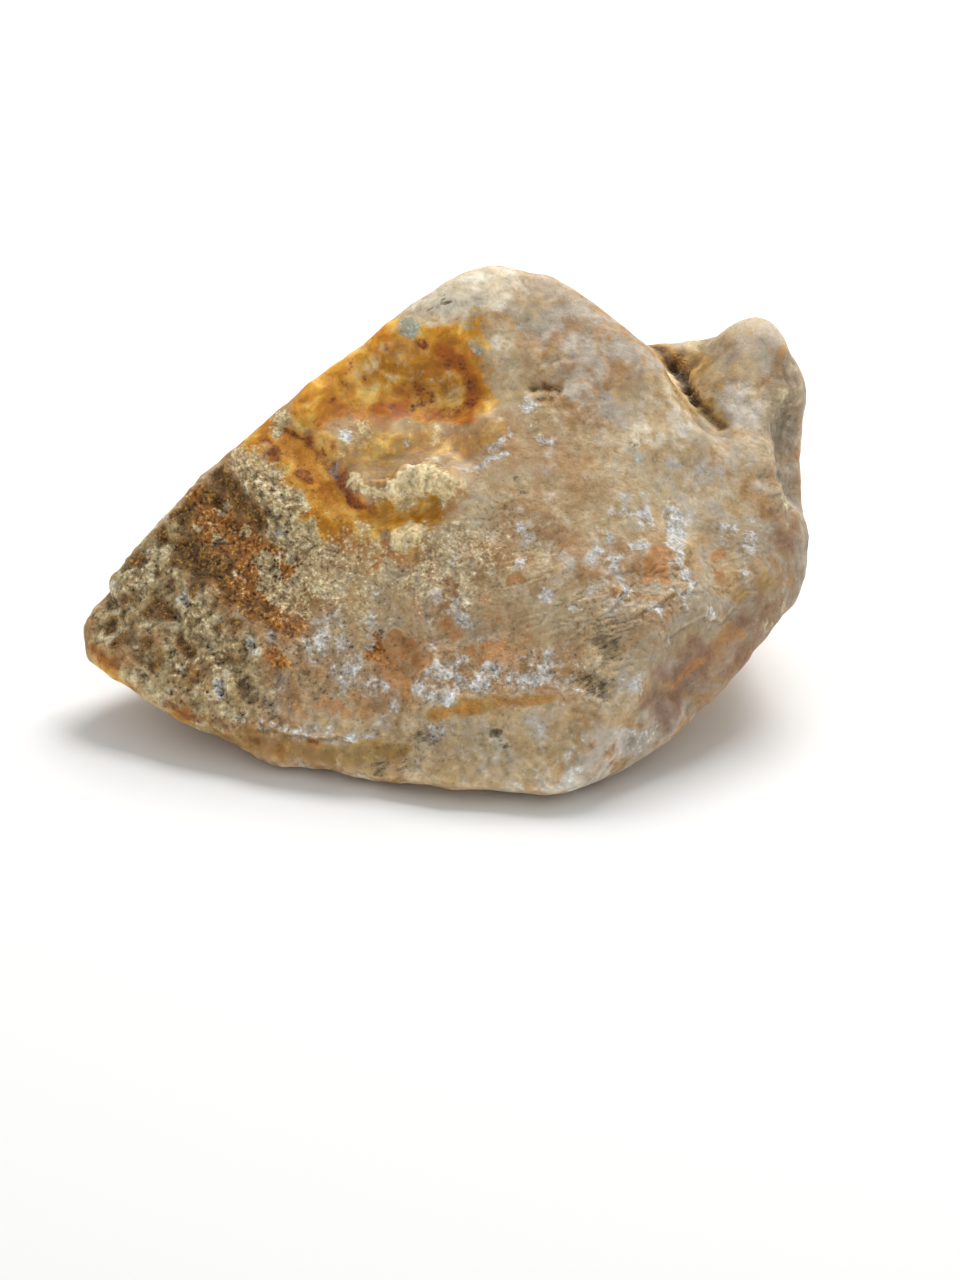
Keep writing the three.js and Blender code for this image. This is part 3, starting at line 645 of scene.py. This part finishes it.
def aragonite():
    """Massive aragonite, a waxy carbonate: chalky where weathered, glossier where honey-coloured."""
    material = bpy.data.materials.new("aragonite")
    material.use_nodes = True
    tree = material.node_tree
    tree.nodes.clear()

    def math_of(operation, *values):
        inputs = {f"_{k}": value for k, value in enumerate(values)}
        return add(tree, "Math", {"operation": operation}, **inputs).outputs[0]

    def sum_of(*parts):
        """Adds up parts given as share, value."""
        total = 0.0
        for share, value in parts:
            total = math_of("MULTIPLY_ADD", value, share, total)
        return total

    def stretched(value, low, high, to_low=0.0, to_high=1.0):
        """Takes a value from its own range to another, with a soft start and end."""
        return add(tree, "MapRange", {"interpolation_type": "SMOOTHSTEP"}, Value=value, From_Min=low,
                   From_Max=high, To_Min=to_low, To_Max=to_high).outputs[0]  # fmt: skip

    def grain_of(millimetres, detail, harshness, where, torn=0.0):
        """Noise about one half that fills nought to one. Torn says how much its patches are pulled."""
        fac = add(tree, "TexNoise", None, Vector=where, Scale=1 / (millimetres * MM),
                  Detail=detail, Roughness=harshness, Distortion=torn).outputs["Fac"]  # fmt: skip
        return add(tree, "MapRange", None, Value=fac, From_Min=0.28, From_Max=0.72).outputs[0]

    def level_of(name):
        return add(tree, "Attribute", {"attribute_name": name}).outputs["Fac"]

    def drawn_out(angle, x, z):
        """Places for a grain that is drawn out so many times along a line at this angle."""
        return add(tree, "Mapping", {"vector_type": "TEXTURE"}, Vector=place,
                   Rotation=(0, angle, 0), Scale=(x, 1, z)).outputs[0]  # fmt: skip

    # Grains by their width in millimetres, and the mixtures that fray and tone the finishes.
    place = add(tree, "TexCoord").outputs["Object"]
    elsewhere = add(tree, "Mapping", None, Vector=place, Location=(0.3, 0.2, 0.1)).outputs[0]
    cloud = grain_of(11, 3, 0.5, place)
    patch = grain_of(3.6, 4, 0.6, place, 0.6)
    isles = grain_of(5.5, 5, 0.6, elsewhere, 0.2)
    mottle = grain_of(1.4, 4, 0.65, place, 0.4)
    grit = grain_of(0.45, 3, 0.6, place)
    needles = grain_of(0.6, 4, 0.65, drawn_out(0.5, 2.6, 0.8))
    flakes = grain_of(0.9, 4, 0.6, drawn_out(-0.5, 3.5, 0.7), 0.5)
    coarse = sum_of((0.6, patch), (0.4, mottle))
    broken = sum_of((0.55, patch), (0.35, mottle), (0.1, grit))
    island = sum_of((0.7, isles), (0.3, mottle))
    soft = sum_of((0.75, patch), (0.25, mottle))
    crumbly = sum_of((0.2, patch), (0.45, mottle), (0.35, grit))
    stippled = sum_of((0.35, mottle), (0.65, grit))
    felted = sum_of((0.35, mottle), (0.35, grit), (0.3, needles))
    needled = sum_of((0.5, needles), (0.25, mottle), (0.25, grit))
    layered = sum_of((0.7, flakes), (0.3, grit))

    def mixed(share, below, above):
        """One colour over another, covering it by the share."""
        return add(tree, "Mix", {"data_type": "RGBA"}, _0=share, _6=below, _7=above).outputs[2]

    def toned(source, *hexes):
        """The colours in turn as the source goes from a quarter to three quarters."""
        ramp = add(tree, "ValToRGB", None, Fac=source)
        stops = ramp.color_ramp.elements
        for k, hex_colour in enumerate(hexes):
            stop = stops[k] if k < 2 else stops.new(k / (len(hexes) - 1))
            stop.position = 0.25 + 0.5 * k / (len(hexes) - 1)
            stop.color = linear(hex_colour)
        return ramp.outputs["Color"]

    warm = toned(coarse, "#a88152", "#b59168", "#c0a584")
    cream = toned(coarse, "#ba9e72", "#c7b08a", "#d2c0a2")
    creamy = sum_of((0.55, cloud), (0.45, patch), (0.5, level_of("cream")))
    colour = mixed(stretched(creamy, 0.4, 0.9), warm, cream)
    layers = [
        # finish, what frays it and how much, where it begins and ends, how much it covers, tones
        ("flesh", island, 1.5, 0.35, 0.8, 0.8, toned(coarse, "#aa7f4e", "#b69064", "#bfa07c")),
        ("veil", soft, 1.5, 0.3, 1.0, 0.85, toned(coarse, "#bcad98", "#cbc2b4", "#d8d3ca")),
        ("lilac", soft, 1.4, 0.2, 1.1, 0.85, toned(coarse, "#8a7a64", "#9f8f79", "#b2a491")),
        ("mauve", island, 1.2, 0.1, 0.9, 0.85, toned(coarse, "#7e5844", "#906c54", "#a3836a")),
        ("ochre", broken, 1.6, 0.2, 0.9, 0.9, toned(coarse, "#8c6224", "#a4803e", "#bc9c60")),
        ("honey", broken, 1.0, 0.15, 0.7, 1, toned(patch, "#be7c10", "#d89c2a", "#ecc266")),
        ("pale", broken, 1.5, 0.25, 1.0, 0.9, toned(coarse, "#c4b394", "#d2c5ab", "#dfd6c4")),
        ("amber", broken, 0.8, 0.1, 1.1, 0.95, toned(coarse, "#a05004", "#bc6a08", "#d68e24")),
        ("rust", broken, 1.6, 0.2, 0.9, 1, toned(stippled, "#743e08", "#a86a22", "#c6924a")),
        ("grey", broken, 1.8, 0.2, 0.9, 0.9, toned(broken, "#8e7244", "#b6a072", "#dacdaa")),
        ("flaky", layered, 1.6, 0.5, 1.4, 0.5, toned(layered, "#74643e", "#b8a47c", "#dcd0b2")),
        ("crust", broken, 1.6, 0.3, 0.8, 0.95, toned(felted, "#caae78", "#e3cd9c", "#f5e8c4")),
        ("frost", broken, 2.0, 0.5, 1.05, 0.9, toned(felted, "#aaa294", "#c8c6c0", "#e6e8e8")),
        ("salmon", broken, 2.4, 0.4, 0.8, 0.85, toned(coarse, "#a2662e", "#b47a40", "#c49058")),
        ("umber", stippled, 2.0, 0.3, 0.8, 1, toned(stippled, "#44280a", "#765020", "#a8803c")),
        ("felt", crumbly, 2.0, 0.4, 0.9, 0.95, toned(needled, "#9e8050", "#c8b080", "#ece0be")),
        ("burn", crumbly, 1.5, 0.2, 1.0, 0.95, toned(stippled, "#ae5606", "#8c4604", "#582c06")),
        ("dirt_and_shade", layered, 2.4, 0.45, 0.9, 0.9, toned(felted, "#40321e", "#6e6046", "#9a8d73")),
        ("blue", felted, 2.0, 0.3, 0.8, 0.9, toned(felted, "#6c746c", "#949c94", "#bcc0b4")),
    ]
    for name, fray, depth, low, high, cover, tones in layers:
        level = level_of(name)
        depth_here = stretched(level, 0, 0.2, 0, depth)
        frayed = math_of("MULTIPLY_ADD", math_of("SUBTRACT", fray, 0.5), depth_here, level)
        colour = mixed(stretched(frayed, low, high, 0, cover), colour, tones)

    # Pinholes between the grains, where the skin is rough. Only some cells have one.
    rough = level_of("rough")
    cell = add(tree, "TexVoronoi", None, Vector=place, Scale=1 / (PINHOLES_APART * MM))
    chosen = math_of("SUBTRACT", cell.outputs["Color"], PINHOLE_FROM)
    size = math_of("MULTIPLY", chosen, 0.5)
    hole = stretched(math_of("SUBTRACT", size, cell.outputs["Distance"]), -0.05, 0.05)
    colour = mixed(math_of("MULTIPLY", hole, stretched(rough, 0.5, 0.9)), colour, linear("#3a2a14"))

    # Painted shade in the pits and a painted highlight on the raised parts, by how far each point stands
    # out.
    # Fine grains get painted glints or lie in their own painted shade.
    grain = math_of("MULTIPLY", math_of("SUBTRACT", felted, 0.5), rough)
    painted_glints = stretched(grit, 0.66, 0.95, 0, 0.25)
    specks = stretched(grit, 0.1, 0.34, -0.3, 0)
    crisp = stretched(level_of("weathered"), 0, 1, 0.6, 1.8)
    speckled = math_of("MULTIPLY", math_of("ADD", painted_glints, specks), crisp)
    shade = sum_of((0.8, level_of("relief")), (0.9, grain), (1, speckled), (1, 0.55))
    shaded = add(tree, "VectorMath", {"operation": "SCALE"}, _0=colour, Scale=shade).outputs[0]

    # Bumps too fine for the mesh, hardly any on the calm skin and tenths of a millimetre on the rough.
    ruts = sum_of((0.5, mottle), (0.3, grit), (0.2, needles))
    depth = math_of("MULTIPLY_ADD", rough, 0.55 * MM, 0.04 * MM)
    bump = add(tree, "Bump", None, Height=ruts, Strength=0.9, Distance=depth)
    skin_of_stone = add(
        tree,
        "BsdfPrincipled",
        None,
        Base_Color=shaded,
        Roughness=stretched(level_of("honey"), 0, 1, 0.6, 0.5),
        IOR=1.6,
        Specular_IOR_Level=0.3,
        Subsurface_Weight=stretched(level_of("honey"), 0, 1, 0.2, 0.5),
        Subsurface_Radius=(1.0, 0.65, 0.4),
        Subsurface_Scale=0.8 * MM,
        Normal=bump.outputs["Normal"],
    )
    add(tree, "OutputMaterial", None, Surface=skin_of_stone.outputs["BSDF"])
    return material


stone_mesh.materials.append(aragonite())


# ---------------------------------------------------------------------------------------------
# Floor, light and camera
# ---------------------------------------------------------------------------------------------


def matt_white():
    """Matt white card, with no gloss and no grain that shows."""
    material = bpy.data.materials.new("matt_white_card")
    material.use_nodes = True
    shader = material.node_tree.nodes["Principled BSDF"]
    shader.inputs["Base Color"].default_value = linear("#f2f2f1")
    shader.inputs["Roughness"].default_value = 0.9
    return material


FLOOR_REACH = 4  # metres from its middle to its edge
bm = bmesh.new()
bmesh.ops.create_grid(bm, x_segments=1, y_segments=1, size=FLOOR_REACH)
floor_mesh = bpy.data.meshes.new("floor")
bm.to_mesh(floor_mesh)
bm.free()
floor_mesh.materials.append(matt_white())
floor = bpy.data.objects.new("floor", floor_mesh)
bpy.context.collection.objects.link(floor)
floor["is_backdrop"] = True

scene = bpy.context.scene
scene.view_settings.view_transform = "Standard"
scene.world = bpy.data.worlds.new("room")
scene.world.use_nodes = True
room = scene.world.node_tree.nodes["Background"]
room.inputs["Color"].default_value = linear("#ffffff")
room.inputs["Strength"].default_value = 0.58

# A large softbox above and behind the stone, on its right, turned to it.
softbox = bpy.data.lights.new("softbox", "AREA")
softbox.shape = "RECTANGLE"
softbox.size = 0.35
softbox.size_y = 0.3
softbox.energy = 3.1
softbox_object = bpy.data.objects.new("softbox", softbox)
softbox_object.location = (0.14, 0.25, 0.54)
softbox_object.rotation_euler = softbox_object.location.to_track_quat("Z", "Y").to_euler()
bpy.context.collection.objects.link(softbox_object)

DISTANCE = 398 * MM
ELEVATION = math.radians(28)
aim = at(4.5, 30.3, 26.2)
lens = bpy.data.cameras.new("camera")
lens.lens = 85
lens.clip_start = 0.01
camera = bpy.data.objects.new("camera", lens)
towards = Vector((0, math.cos(ELEVATION), -math.sin(ELEVATION)))
camera.location = aim - towards * DISTANCE
camera.rotation_euler = towards.to_track_quat("-Z", "Y").to_euler()
bpy.context.collection.objects.link(camera)
scene.camera = camera

bpy.context.view_layer.update()
boxes = {"cad": cad_box, "visual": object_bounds()}
{name: [list(corner) for corner in box] for name, box in boxes.items()}
